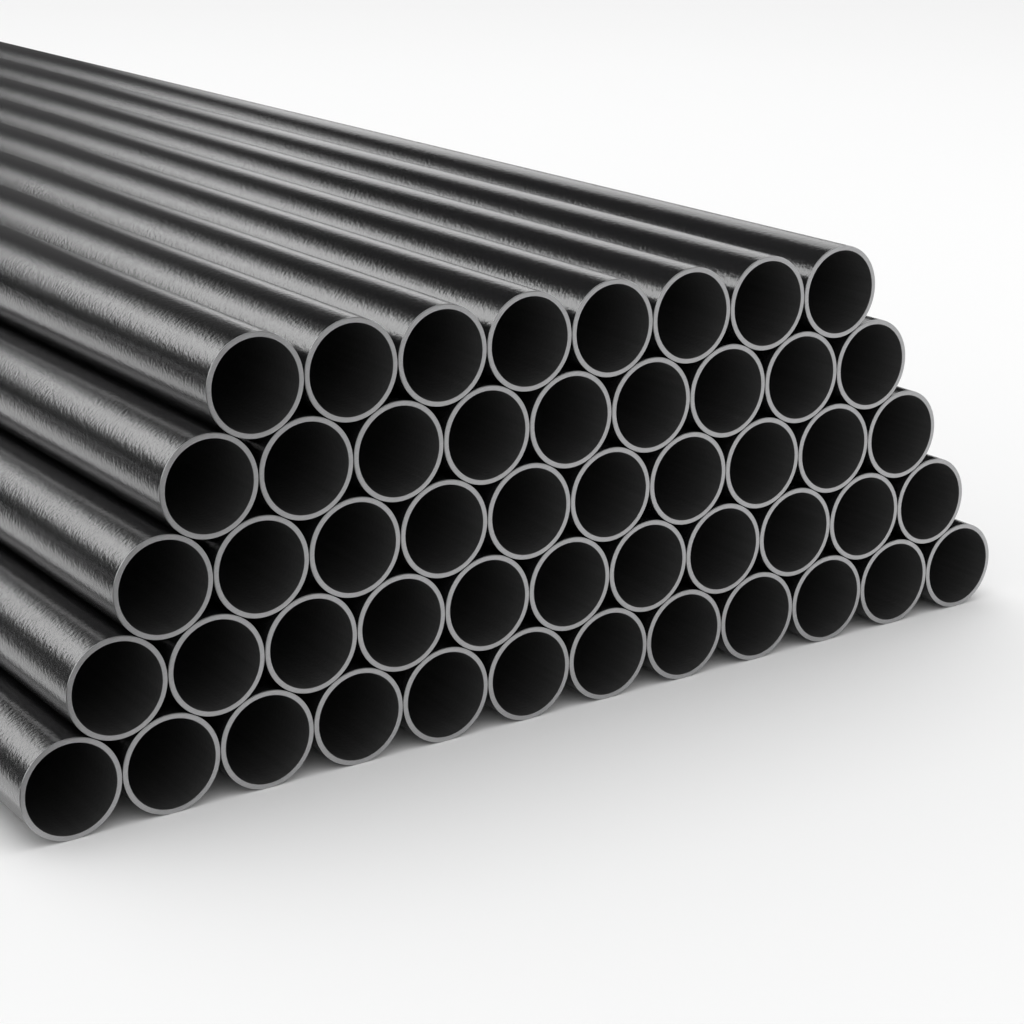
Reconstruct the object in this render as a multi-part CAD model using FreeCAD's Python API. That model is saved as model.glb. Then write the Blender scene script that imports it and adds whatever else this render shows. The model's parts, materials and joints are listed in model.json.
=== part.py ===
import FreeCAD, Part
import math
import os

# A bundle of round aluminium balusters, the plain infill tubes of a deck or stair railing.
# Every tube is the same: drawn round, coated black and sawn square at both ends, with the burr
# taken off its edges. The tubes lie side by side in rows. Each row has one tube fewer than the
# row below it and nests in that row's valleys, so the stack's ends form a low trapezium.
#
# Millimetres. +X runs across the rows, +Y along the tubes and +Z up. The origin is on the floor,
# under the middle of the stack.

# One baluster.
OUTSIDE_DIAMETER = 19.05
WALL = 1.0
LENGTH = 660.4
OUTER_EDGE_BREAK = 0.15
INNER_EDGE_BREAK = 0.10

# The stack.
BOTTOM_ROW_TUBES = 12
ROWS = 5
SIDE_GAP = 0.10

# What follows from them.
OUTER_RADIUS = OUTSIDE_DIAMETER / 2
BORE_RADIUS = OUTER_RADIUS - WALL
PITCH = OUTSIDE_DIAMETER + SIDE_GAP
ROW_RISE = PITCH * math.sin(math.radians(60))

ALONG_TUBE = FreeCAD.Vector(0, 1, 0)
PARTS_FOLDER = "parts"


def rod(radius, edge_break):
    """A solid round bar on the Y axis. Each end runs out to the radius over a 45 degree edge break:
    a positive one makes the end narrower, and a negative one makes it wider."""
    half = LENGTH / 2
    flat = half - abs(edge_break)
    outline = Part.makePolygon([
        FreeCAD.Vector(0, -half, 0),
        FreeCAD.Vector(radius - edge_break, -half, 0),
        FreeCAD.Vector(radius, -flat, 0),
        FreeCAD.Vector(radius, flat, 0),
        FreeCAD.Vector(radius - edge_break, half, 0),
        FreeCAD.Vector(0, half, 0),
        FreeCAD.Vector(0, -half, 0),
    ])
    return Part.Face(outline).revolve(FreeCAD.Vector(0, 0, 0), ALONG_TUBE, 360)


def baluster():
    """One tube on the Y axis, open from end to end, with both sawn ends square."""
    outside = rod(OUTER_RADIUS, OUTER_EDGE_BREAK)
    bore = rod(BORE_RADIUS, -INNER_EDGE_BREAK)
    return outside.cut(bore)


def stack_places():
    """Yields (row, number, centre) for every tube: rows from the floor up, numbers from -X to +X."""
    for row in range(1, ROWS + 1):
        count = BOTTOM_ROW_TUBES - (row - 1)
        height = OUTER_RADIUS + (row - 1) * ROW_RISE
        first = -(count - 1) * PITCH / 2
        for number in range(1, count + 1):
            yield row, number, FreeCAD.Vector(first + (number - 1) * PITCH, 0, height)


def main():
    os.makedirs(PARTS_FOLDER, exist_ok=True)
    tube = baluster()
    for row, number, centre in stack_places():
        placed = tube.copy()
        placed.translate(centre)
        placed.exportStep(f"{PARTS_FOLDER}/baluster_row{row}_no{number:02d}.step")


main()
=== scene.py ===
"""A bundle of fifty round aluminium balusters: satin black coat, bare sawn ends, dark bores.

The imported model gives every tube's place, diameter and length. This file gives them their looks, and
sets them on a pale floor under soft studio light.
"""

import json
import math

import bmesh
import bpy
from mathutils import Matrix, Vector


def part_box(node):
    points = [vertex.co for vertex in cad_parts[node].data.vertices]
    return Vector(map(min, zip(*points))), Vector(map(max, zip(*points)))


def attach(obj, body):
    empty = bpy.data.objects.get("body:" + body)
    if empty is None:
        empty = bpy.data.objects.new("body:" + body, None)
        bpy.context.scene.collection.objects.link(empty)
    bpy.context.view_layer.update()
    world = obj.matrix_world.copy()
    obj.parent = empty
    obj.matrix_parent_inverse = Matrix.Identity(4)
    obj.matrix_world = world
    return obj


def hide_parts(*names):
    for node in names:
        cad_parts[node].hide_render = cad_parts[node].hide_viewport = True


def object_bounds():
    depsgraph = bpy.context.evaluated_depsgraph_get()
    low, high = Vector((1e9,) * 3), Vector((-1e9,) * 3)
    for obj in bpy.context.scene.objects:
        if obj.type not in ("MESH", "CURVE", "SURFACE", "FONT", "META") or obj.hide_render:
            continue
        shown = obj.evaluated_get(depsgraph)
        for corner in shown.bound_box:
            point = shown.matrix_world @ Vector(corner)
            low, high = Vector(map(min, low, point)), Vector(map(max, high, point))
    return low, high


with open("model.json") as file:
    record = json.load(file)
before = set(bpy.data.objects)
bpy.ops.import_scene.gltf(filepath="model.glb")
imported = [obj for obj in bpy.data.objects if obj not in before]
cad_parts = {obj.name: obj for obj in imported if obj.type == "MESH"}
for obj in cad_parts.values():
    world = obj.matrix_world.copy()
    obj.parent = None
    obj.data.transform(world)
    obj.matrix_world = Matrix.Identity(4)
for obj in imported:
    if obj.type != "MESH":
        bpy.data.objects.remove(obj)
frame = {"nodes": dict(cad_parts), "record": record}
CAD_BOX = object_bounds()

bl_info = {
    "name": "Baluster bundle",
    "version": (1, 0, 0),
    "blender": (4, 5, 0),
    "location": "View3D > Sidebar > Balusters",
    "description": "Makes a nested stack of round black balusters and the studio it stands in",
    "category": "Add Mesh",
}

MM = 0.001
BORES = [mount for mount in frame["record"]["mounts"] if mount["kind"] == "bore"]
BORE_RADIUS = BORES[0]["dims"]["r_mm"] * MM

# The places of a tube's finishes among its materials.
COAT, SAWN, BORE = range(3)

# How far a face's normal points along the tube: more on a flat end, and less on a level side.
FLAT_END = 0.9
LEVEL_SIDE = 0.01

# Points nearer than this are one, and edges sharper than this aren't shaded smooth.
SAME_PLACE = 1e-6
SHARP_EDGE = math.radians(10)

# Noise stretched this much runs in lines along the tube.
LENGTHWISE_COAT = (1.0, 0.01, 1.0)
LENGTHWISE_BORE = (1.0, 0.02, 1.0)

# The saw's marks are noise drawn out along X, on a pattern turned about the tube's axis by this angle.
SAW_ANGLE = 0.35
SAW_STRETCH = (0.04, 1.0, 1.0)
SAW_DEPTH = 0.004 * MM

# The axis that a studio card is square to.
ACROSS_X, ACROSS_Y, LEVEL = range(3)

FLOOR_HALF_WIDTH = 20.0
SOFTBOX_DISTANCE = 3.0
FAR_WALL_DISTANCE = 3.3
STRIP_GAP = 14.15 * MM
GLOW_GAP = 4.15 * MM
GLOW_HEIGHT = 0.5 * MM
FLAG_HEIGHT = 1.0 * MM
SENSOR_WIDTH = 36.0


class BalusterSizes(bpy.types.PropertyGroup):
    """What shapes one tube, apart from the diameter and length that its node gives."""

    bore_radius: bpy.props.FloatProperty(
        name="Bore radius", description="Half the width of the hole along each tube",
        default=BORE_RADIUS, min=0.001, precision=5, unit="LENGTH")
    outer_edge: bpy.props.FloatProperty(
        name="Outer edge", description="Width of the rounding at the outside of a sawn end",
        default=0.15 * MM, min=0.0, precision=5, unit="LENGTH")
    inner_edge: bpy.props.FloatProperty(
        name="Inner edge", description="Width of the rounding at the bore of a sawn end",
        default=0.10 * MM, min=0.0, precision=5, unit="LENGTH")
    sides: bpy.props.IntProperty(
        name="Sides", description="Flat strips that make up the round of each tube",
        default=96, min=12, max=256)
    edge_steps: bpy.props.IntProperty(
        name="Edge steps", description="Strips across the rounding of each end's edges",
        default=3, min=1, max=6)


class FinishLooks(bpy.types.PropertyGroup):
    """The colours and textures of the coat, the sawn ends and the bores."""

    coat_colour: bpy.props.FloatVectorProperty(
        name="Coat colour", description="Colour of the black coat",
        default=(0.012, 0.012, 0.0125), size=3, min=0.0, max=1.0, subtype="COLOR")
    coat_roughness: bpy.props.FloatProperty(
        name="Coat roughness", description="How far the coat spreads its highlights",
        default=0.195, min=0.0, max=1.0, subtype="FACTOR")
    grain_size: bpy.props.FloatProperty(
        name="Grain size", description="Width of one speck of the coat's fine grain",
        default=0.75 * MM, min=0.0001, precision=5, unit="LENGTH")
    grain_depth: bpy.props.FloatProperty(
        name="Grain depth", description="Height of the coat's fine grain",
        default=0.066 * MM, min=0.0, precision=6, unit="LENGTH")
    metal_colour: bpy.props.FloatVectorProperty(
        name="Sawn metal colour", description="Colour of the bare aluminium at the sawn ends",
        default=(0.48, 0.48, 0.485), size=3, min=0.0, max=1.0, subtype="COLOR")
    metal_roughness: bpy.props.FloatProperty(
        name="Sawn metal roughness", description="How far the sawn ends spread their highlights",
        default=0.45, min=0.0, max=1.0, subtype="FACTOR")
    bore_colour: bpy.props.FloatVectorProperty(
        name="Bore colour", description="Colour of the dull coat inside the tubes",
        default=(0.040, 0.040, 0.040), size=3, min=0.0, max=1.0, subtype="COLOR")


class StudioLooks(bpy.types.PropertyGroup):
    """The floor, the room's brightness and the camera."""

    floor_colour: bpy.props.FloatVectorProperty(
        name="Floor colour", description="Colour of the plain floor",
        default=(0.88, 0.88, 0.88), size=3, min=0.0, max=1.0, subtype="COLOR")
    surroundings: bpy.props.FloatProperty(
        name="Surroundings", description="Brightness of the pale room around the floor",
        default=0.90, min=0.0)
    azimuth: bpy.props.FloatProperty(
        name="Camera azimuth", description="Turn of the camera about the stack, from straight in front",
        default=math.radians(-34.05), subtype="ANGLE", unit="ROTATION")
    elevation: bpy.props.FloatProperty(
        name="Camera elevation", description="How far the camera looks down, as an angle from level",
        default=math.radians(17.79), subtype="ANGLE", unit="ROTATION")
    distance: bpy.props.FloatProperty(
        name="Camera distance", description="From the camera to the point that it is aimed at",
        default=0.4375, min=0.05, unit="LENGTH")
    aim_offset: bpy.props.FloatVectorProperty(
        name="Aim offset", description="From the middle of the front ends to the point aimed at",
        default=(-0.01365, 0.0, 0.00065), size=3, precision=5, subtype="TRANSLATION", unit="LENGTH")
    lens: bpy.props.FloatProperty(
        name="Lens", description="Focal length on a sensor 36 mm wide",
        default=81.3, min=10.0, unit="CAMERA")


class Socket:
    """An output in a node tree. Arithmetic with it adds the Math nodes that work it out."""

    def __init__(self, nodes, output):
        self.nodes = nodes
        self.output = output

    def combine(self, operation, *values):
        return self.nodes.add("ShaderNodeMath", {"operation": operation}, dict(enumerate(values)))

    def __add__(self, other):
        return self.combine("ADD", self, other)

    def __radd__(self, other):
        return self.combine("ADD", other, self)

    def __mul__(self, other):
        return self.combine("MULTIPLY", self, other)

    def __rmul__(self, other):
        return self.combine("MULTIPLY", other, self)


class Nodes:
    """The node tree of one material, cleared and filled with add()."""

    def __init__(self, name):
        self.material = bpy.data.materials.new(name)
        self.material.use_nodes = True
        self.tree = self.material.node_tree
        self.tree.nodes.clear()

    def add(self, kind, settings=None, inputs=None, output=0):
        """Adds a node of one type, with its settings and then its sockets' values or links."""
        node = self.tree.nodes.new(kind)
        for name, value in (settings or {}).items():
            setattr(node, name, value)
        for name, value in (inputs or {}).items():
            if isinstance(value, Socket):
                self.tree.links.new(value.output, node.inputs[name])
            else:
                node.inputs[name].default_value = value
        return Socket(self, node.outputs[output]) if node.outputs else None

    def place(self):
        """Where a point is in the piece's own coordinates."""
        return self.add("ShaderNodeTexCoord", output="Object")

    def blend(self, mask, low, high):
        """A colour that goes from low to high as the mask goes from 0 to 1."""
        # A Mix node names its colour sockets as it names its number ones, so these go by their order.
        sockets = {0: mask, 6: (*low, 1.0), 7: (*high, 1.0)}
        return self.add("ShaderNodeMix", {"data_type": "RGBA"}, sockets, output=2)

    def noise(self, place, size, detail=2.0):
        """Noise whose features are about one size across, in metres."""
        sockets = {"Vector": place, "Scale": 1.0 / size, "Detail": detail}
        return self.add("ShaderNodeTexNoise", None, sockets)

    def stretched(self, place, scale):
        """The place with each axis scaled: under 1, a pattern on it is drawn out along that axis."""
        return self.add("ShaderNodeMapping", None, {"Vector": place, "Scale": scale})

    def turned(self, place, angles):
        return self.add("ShaderNodeMapping", None, {"Vector": place, "Rotation": angles})

    def fade(self, place, clear, solid):
        """Goes from 0 at the clear place to 1 at the solid one, and stays level beyond them."""
        way = Vector(solid) - Vector(clear)
        offset = self.add("ShaderNodeVectorMath", {"operation": "SUBTRACT"}, {0: place, 1: clear})
        share = self.add(
            "ShaderNodeVectorMath", {"operation": "DOT_PRODUCT"}, {0: offset, 1: way / way.length_squared},
            output="Value")
        return self.add("ShaderNodeClamp", None, {"Value": share})

    def bump(self, height, distance):
        return self.add("ShaderNodeBump", None, {"Height": height, "Distance": distance})

    def finish(self, inputs):
        """Closes the tree with the shader that has these inputs, and returns the material."""
        shader = self.add("ShaderNodeBsdfPrincipled", None, inputs)
        self.add("ShaderNodeOutputMaterial", None, {"Surface": shader})
        return self.material


def shade(colour, factor):
    """The colour made darker by a factor under 1, or lighter by one over 1."""
    return tuple(channel * factor for channel in colour)


def coat_material(looks):
    """Satin black: a fine grain that breaks the highlights up, and faint lines along the tube."""
    nodes = Nodes("satin_black_coat")
    place = nodes.place()
    grain = nodes.noise(place, looks.grain_size)
    peel = nodes.noise(place, 4.0 * looks.grain_size, detail=1.0)
    drawn = nodes.noise(nodes.stretched(place, LENGTHWISE_COAT), 1.2 * MM, detail=1.0)
    patches = nodes.noise(place, 35 * MM)
    tone = 0.5 * grain + 0.3 * drawn + 0.2 * patches
    roughness = looks.coat_roughness - 0.03 + 0.04 * grain + 0.02 * patches
    height = 0.8 * grain + 0.2 * peel
    return nodes.finish({
        "Base Color": nodes.blend(tone, shade(looks.coat_colour, 0.6), shade(looks.coat_colour, 1.4)),
        "Roughness": roughness,
        "IOR": 1.9,
        "Normal": nodes.bump(height, looks.grain_depth),
    })


def sawn_material(looks):
    """Bare aluminium as the saw left it: fine straight marks across each ring."""
    nodes = Nodes("sawn_aluminium")
    place = nodes.place()
    turned = nodes.turned(place, (0.0, SAW_ANGLE, 0.0))
    marks = nodes.noise(nodes.stretched(turned, SAW_STRETCH), 0.12 * MM)
    fleck = nodes.noise(place, 0.3 * MM)
    return nodes.finish({
        "Base Color": nodes.blend(marks, shade(looks.metal_colour, 0.85), shade(looks.metal_colour, 1.15)),
        "Metallic": 1.0,
        "Roughness": looks.metal_roughness - 0.05 + 0.10 * fleck,
        "Normal": nodes.bump(marks, SAW_DEPTH),
    })


def bore_material(looks):
    """The dull, dark inside of a tube."""
    nodes = Nodes("dull_bore")
    place = nodes.place()
    drawn = nodes.noise(nodes.stretched(place, LENGTHWISE_BORE), 0.8 * MM)
    grain = nodes.noise(place, looks.grain_size)
    return nodes.finish({
        "Base Color": nodes.blend(drawn, shade(looks.bore_colour, 0.7), shade(looks.bore_colour, 1.3)),
        "Roughness": 0.45 + 0.10 * grain,
        "Normal": nodes.bump(grain, looks.grain_depth),
    })


def link_object(name, data):
    """Puts a new object with this data in the scene, at the origin."""
    thing = bpy.data.objects.new(name, data)
    bpy.context.scene.collection.objects.link(thing)
    return thing


def mesh_object(name, shape, materials):
    """Turns a finished bmesh into an object with these materials, and frees the bmesh."""
    mesh = bpy.data.meshes.new(name)
    shape.to_mesh(mesh)
    shape.free()
    for material in materials:
        mesh.materials.append(material)
    return link_object(name, mesh)


def round_edges(shape, radius, offset, steps):
    """Rounds the two circles of this radius at the ends of the tube."""
    circles = []
    for edge in shape.edges:
        start, end = (vertex.co for vertex in edge.verts)
        same_end = abs(start.y - end.y) < SAME_PLACE
        if same_end and all(abs(math.hypot(p.x, p.z) - radius) < SAME_PLACE for p in (start, end)):
            circles.append(edge)
    bmesh.ops.bevel(
        shape, geom=circles, affect="EDGES", offset=offset, offset_type="OFFSET",
        segments=steps, profile=0.5, material=-1, clamp_overlap=True)


def face_finish(face):
    """Which finish a face of the tube takes, from the way it faces and the side of the wall it is on."""
    middle = face.calc_center_median()
    endways = abs(face.normal.y)
    outwards = face.normal.x * middle.x + face.normal.z * middle.z
    if endways > FLAT_END:
        return SAWN
    if outwards < 0:
        return BORE
    return SAWN if endways > LEVEL_SIDE else COAT


def tube_shape(outer_radius, half_length, sizes):
    """A tube about the Y axis, spun from the outline of its wall, with its end edges rounded."""
    shape = bmesh.new()
    corners = [
        shape.verts.new((sizes.bore_radius, -half_length, 0.0)),
        shape.verts.new((outer_radius, -half_length, 0.0)),
        shape.verts.new((outer_radius, half_length, 0.0)),
        shape.verts.new((sizes.bore_radius, half_length, 0.0)),
    ]
    outline = [shape.edges.new((corners[i - 1], corners[i])) for i in range(len(corners))]
    bmesh.ops.spin(
        shape, geom=corners + outline, cent=(0, 0, 0), axis=(0, 1, 0), angle=math.tau,
        steps=sizes.sides, use_merge=True)
    bmesh.ops.remove_doubles(shape, verts=shape.verts, dist=SAME_PLACE)
    bmesh.ops.recalc_face_normals(shape, faces=shape.faces)
    round_edges(shape, outer_radius, sizes.outer_edge, sizes.edge_steps)
    round_edges(shape, sizes.bore_radius, sizes.inner_edge, sizes.edge_steps)
    return shape


def make_baluster(node, sizes, finishes):
    """One tube, shaped about its own axis and then put where its node is."""
    low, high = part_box(node)
    shape = tube_shape((high.x - low.x) / 2, (high.y - low.y) / 2, sizes)
    for face in shape.faces:
        face.smooth = True
        face.material_index = face_finish(face)
    for edge in shape.edges:
        edge.smooth = edge.calc_face_angle(0.0) < SHARP_EDGE
    bmesh.ops.translate(shape, verts=shape.verts, vec=(low + high) / 2)
    tube = mesh_object(f"{node}_tube", shape, finishes)
    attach(tube, "root")
    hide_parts(node)


def make_floor(studio):
    """The plain pale floor, level with the underside of the bottom row."""
    nodes = Nodes("pale_floor")
    cloud = nodes.noise(nodes.place(), 0.6)
    material = nodes.finish({
        "Base Color": nodes.blend(cloud, shade(studio.floor_colour, 0.99), shade(studio.floor_colour, 1.01)),
        "Roughness": 0.9,
        "Specular IOR Level": 0.0,
    })
    shape = bmesh.new()
    bmesh.ops.create_grid(shape, x_segments=1, y_segments=1, size=FLOOR_HALF_WIDTH)
    mesh_object("floor", shape, [material])


def aim(thing, place, facing):
    """Puts a light or the camera at a place, facing this way."""
    heading = Vector(facing).to_track_quat("-Z", "Y").to_matrix().to_4x4()
    thing.matrix_world = Matrix.Translation(place) @ heading


def make_panel(name, place, facing, width, length, brightness):
    """A soft panel light of even brightness, which the camera doesn't see."""
    light = bpy.data.lights.new(name, "AREA")
    light.shape = "RECTANGLE"
    light.size = width
    light.size_y = length
    # A flat panel that looks equally bright from every side gives off pi times that over its area.
    light.energy = math.pi * brightness * width * length
    panel = link_object(name, light)
    panel.visible_camera = False
    aim(panel, place, facing)


def rectangle(low, high):
    """The corners of a rectangle, from its lowest corner and its highest one."""
    return [low, (high[0], low[1]), high, (low[0], high[1])]


def in_plane(axis, distance, outline):
    """The places of an outline's points, on the plane square to an axis at a distance along it."""
    return [(*point[:axis], distance, *point[axis:]) for point in outline]


def make_card(name, axis, distance, outline, brightness, fade=None):
    """A flat sheet that only reflections show: a light if it is bright, a dark flag if it isn't.

    A fade is two points of its plane: the sheet goes evenly from clear at the first to solid at the second.
    """
    nodes = Nodes(name)
    cover = 1.0
    if fade:
        cover = nodes.fade(nodes.place(), *in_plane(axis, distance, fade))
    material = nodes.finish({
        "Base Color": (0.0, 0.0, 0.0, 1.0),
        "Roughness": 1.0,
        "Specular IOR Level": 0.0,
        "Emission Color": (1.0, 1.0, 1.0, 1.0),
        "Emission Strength": brightness,
        "Alpha": cover,
    })
    shape = bmesh.new()
    shape.faces.new([shape.verts.new(corner) for corner in in_plane(axis, distance, outline)])
    card = mesh_object(name, shape, [material])
    card.visible_camera = False
    card.visible_diffuse = False
    card.visible_shadow = False


def make_far_cards():
    """A soft box before a dim wall at the back and at the front, and a smaller box at each side."""
    for side, sign in (("back", 1.0), ("front", -1.0)):
        make_card(
            f"softbox_{side}", ACROSS_Y, sign * SOFTBOX_DISTANCE, brightness=3.2,
            outline=[(-4.0, 0.91), (-1.56, 1.11), (-0.86, 1.41), (0.70, 1.60), (-4.0, 3.95)],
            fade=[(0.70, 1.60), (0.49, 1.18)])
        make_card(
            f"far_wall_{side}", ACROSS_Y, sign * FAR_WALL_DISTANCE, brightness=0.12,
            outline=rectangle((-1.2, 0.0), (1.9, 1.8)))
    for side, sign in (("left", -1.0), ("right", 1.0)):
        make_card(
            f"softbox_{side}", ACROSS_X, sign * SOFTBOX_DISTANCE, brightness=2.0,
            outline=rectangle((-1.6, 0.4), (1.6, 1.9)))


def make_near_cards():
    """A strip light past the stack's right side, and a glow along its left with a dark flag beyond."""
    low, high = CAD_BOX
    make_card(
        "strip_right", ACROSS_X, high[0] + STRIP_GAP, brightness=1.3,
        outline=[(-0.40, 0.095), (0.19, 0.095), (0.19, 0.188), (-0.10, 0.179), (-0.40, 0.167)],
        fade=[(0.19, 0.0), (0.03, 0.0)])
    make_card(
        "glow_left", LEVEL, GLOW_HEIGHT, brightness=1.4,
        outline=rectangle((-0.8, -0.32), (low[0] - GLOW_GAP, 1.0)))
    make_card(
        "flag_left", LEVEL, FLAG_HEIGHT, brightness=0.0,
        outline=[(0.30, -0.90), (-0.13, -0.32), (-0.57, 1.0), (-0.9, 3.0), (-4.0, 3.0), (-4.0, -0.90)])


def make_surroundings(brightness):
    """An even pale room, which lights the scene but doesn't show in the tubes' reflections."""
    world = bpy.data.worlds.new("pale_room")
    world.use_nodes = True
    background = world.node_tree.nodes["Background"]
    background.inputs["Color"].default_value = (1.0, 1.0, 1.0, 1.0)
    background.inputs["Strength"].default_value = brightness
    world.cycles_visibility.glossy = False
    bpy.context.scene.world = world


def make_camera(studio):
    """The camera, aimed close to the middle of the front ends."""
    low, high = CAD_BOX
    front_middle = Vector((0.0, low[1], (low[2] + high[2]) / 2))
    back = Vector((
        math.sin(studio.azimuth) * math.cos(studio.elevation),
        -math.cos(studio.azimuth) * math.cos(studio.elevation),
        math.sin(studio.elevation),
    ))
    lens = bpy.data.cameras.new("camera")
    lens.lens = studio.lens
    lens.sensor_width = SENSOR_WIDTH
    lens.clip_start = 10 * MM
    camera = link_object("camera", lens)
    aim(camera, front_middle + Vector(studio.aim_offset) + studio.distance * back, -back)
    bpy.context.scene.camera = camera


class BALUSTERS_OT_make_tubes(bpy.types.Operator):
    """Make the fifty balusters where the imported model's nodes are"""

    bl_idname = "balusters.make_tubes"
    bl_label = "Make balusters"

    def execute(self, context):
        sizes = context.scene.baluster_sizes
        looks = context.scene.baluster_finishes
        finishes = [coat_material(looks), sawn_material(looks), bore_material(looks)]
        for node in sorted(frame["nodes"]):
            make_baluster(node, sizes, finishes)
        return {"FINISHED"}


class BALUSTERS_OT_set_stage(bpy.types.Operator):
    """Lay the floor, light the room and place the camera"""

    bl_idname = "balusters.set_stage"
    bl_label = "Set stage"

    def execute(self, context):
        studio = context.scene.baluster_studio
        make_floor(studio)
        make_surroundings(studio.surroundings)
        make_panel(
            "panel_overhead", place=(0.0, 0.0, 1.6), facing=(0.0, 0.0, -1.0), width=1.6, length=1.7,
            brightness=1.0)
        make_far_cards()
        make_near_cards()
        make_camera(studio)
        context.scene.view_settings.view_transform = "Standard"
        return {"FINISHED"}


class BALUSTERS_PT_sidebar(bpy.types.Panel):
    """The sizes, finishes and studio of the bundle, and the buttons that make it"""

    bl_idname = "BALUSTERS_PT_sidebar"
    bl_label = "Baluster bundle"
    bl_space_type = "VIEW_3D"
    bl_region_type = "UI"
    bl_category = "Balusters"

    def draw(self, context):
        for group in ("baluster_sizes", "baluster_finishes", "baluster_studio"):
            settings = getattr(context.scene, group)
            for name in settings.bl_rna.properties.keys():
                if name not in ("rna_type", "name"):
                    self.layout.prop(settings, name)
        self.layout.operator("balusters.make_tubes")
        self.layout.operator("balusters.set_stage")


CLASSES = (
    BalusterSizes,
    FinishLooks,
    StudioLooks,
    BALUSTERS_OT_make_tubes,
    BALUSTERS_OT_set_stage,
    BALUSTERS_PT_sidebar,
)


def register():
    for cls in CLASSES:
        bpy.utils.register_class(cls)
    bpy.types.Scene.baluster_sizes = bpy.props.PointerProperty(type=BalusterSizes)
    bpy.types.Scene.baluster_finishes = bpy.props.PointerProperty(type=FinishLooks)
    bpy.types.Scene.baluster_studio = bpy.props.PointerProperty(type=StudioLooks)


def unregister():
    del bpy.types.Scene.baluster_studio
    del bpy.types.Scene.baluster_finishes
    del bpy.types.Scene.baluster_sizes
    for cls in reversed(CLASSES):
        bpy.utils.unregister_class(cls)


def main():
    register()
    bpy.ops.balusters.make_tubes()
    bpy.ops.balusters.set_stage()


if __name__ == "__main__":
    main()
